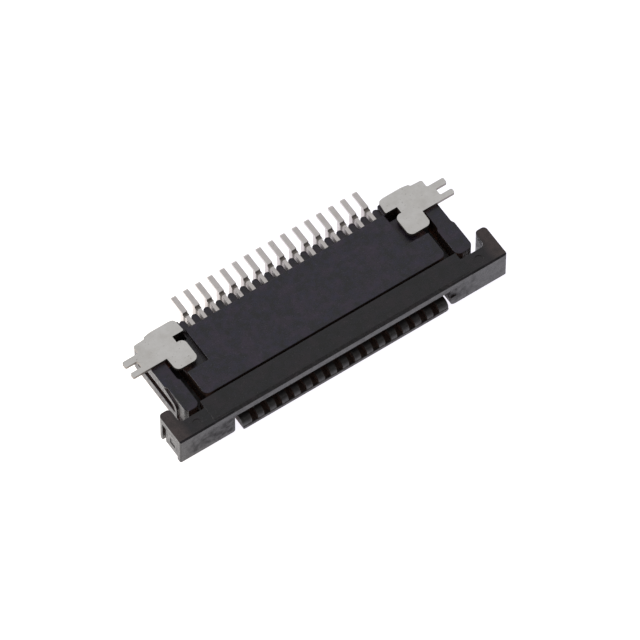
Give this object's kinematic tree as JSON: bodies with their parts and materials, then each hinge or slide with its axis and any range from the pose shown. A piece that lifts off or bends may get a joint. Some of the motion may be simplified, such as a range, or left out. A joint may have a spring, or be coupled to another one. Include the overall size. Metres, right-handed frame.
{
  "type": "fpc connector",
  "caption": "Right-angle surface-mount connector for a flat flexible cable: a flat housing with a row of soldered feet, two solder nails and a sliding lock with end grips.",
  "frame": {"origin": "under the middle of the connector, on the plane of its plain face, on which it lies", "axes": "+X along the row of contacts, +Y from the cable mouth to the soldered feet, +Z from the plain face to the solder side that faces the circuit board"},
  "size_m": [0.027, 0.0102, 0.0027],
  "materials": {
    "housing_resin": "moulded glass-filled resin, fine matte grain",
    "slider_resin": "moulded resin, matte with softly shining edges",
    "contact_plating": "matte tin plating on stamped copper alloy",
    "nail_plating": "matte tin plating on stamped brass"
  },
  "bodies": {
    "body": {"housing": "housing_resin", "contact_01": "contact_plating", "contact_02": "contact_plating", "contact_03": "contact_plating", "contact_04": "contact_plating", "contact_05": "contact_plating", "contact_06": "contact_plating", "contact_07": "contact_plating", "contact_08": "contact_plating", "contact_09": "contact_plating", "contact_10": "contact_plating", "contact_11": "contact_plating", "contact_12": "contact_plating", "contact_13": "contact_plating", "contact_14": "contact_plating", "contact_15": "contact_plating", "contact_16": "contact_plating", "solder_nail_left": "nail_plating", "solder_nail_right": "nail_plating"},
    "slider": {"slider": "slider_resin"}
  },
  "joints": [
    {"name": "slider_travel", "type": "slide", "parent": "body", "child": "slider", "axis": [0, -1, 0], "range_m": [0, 0.0012]}
  ]
}
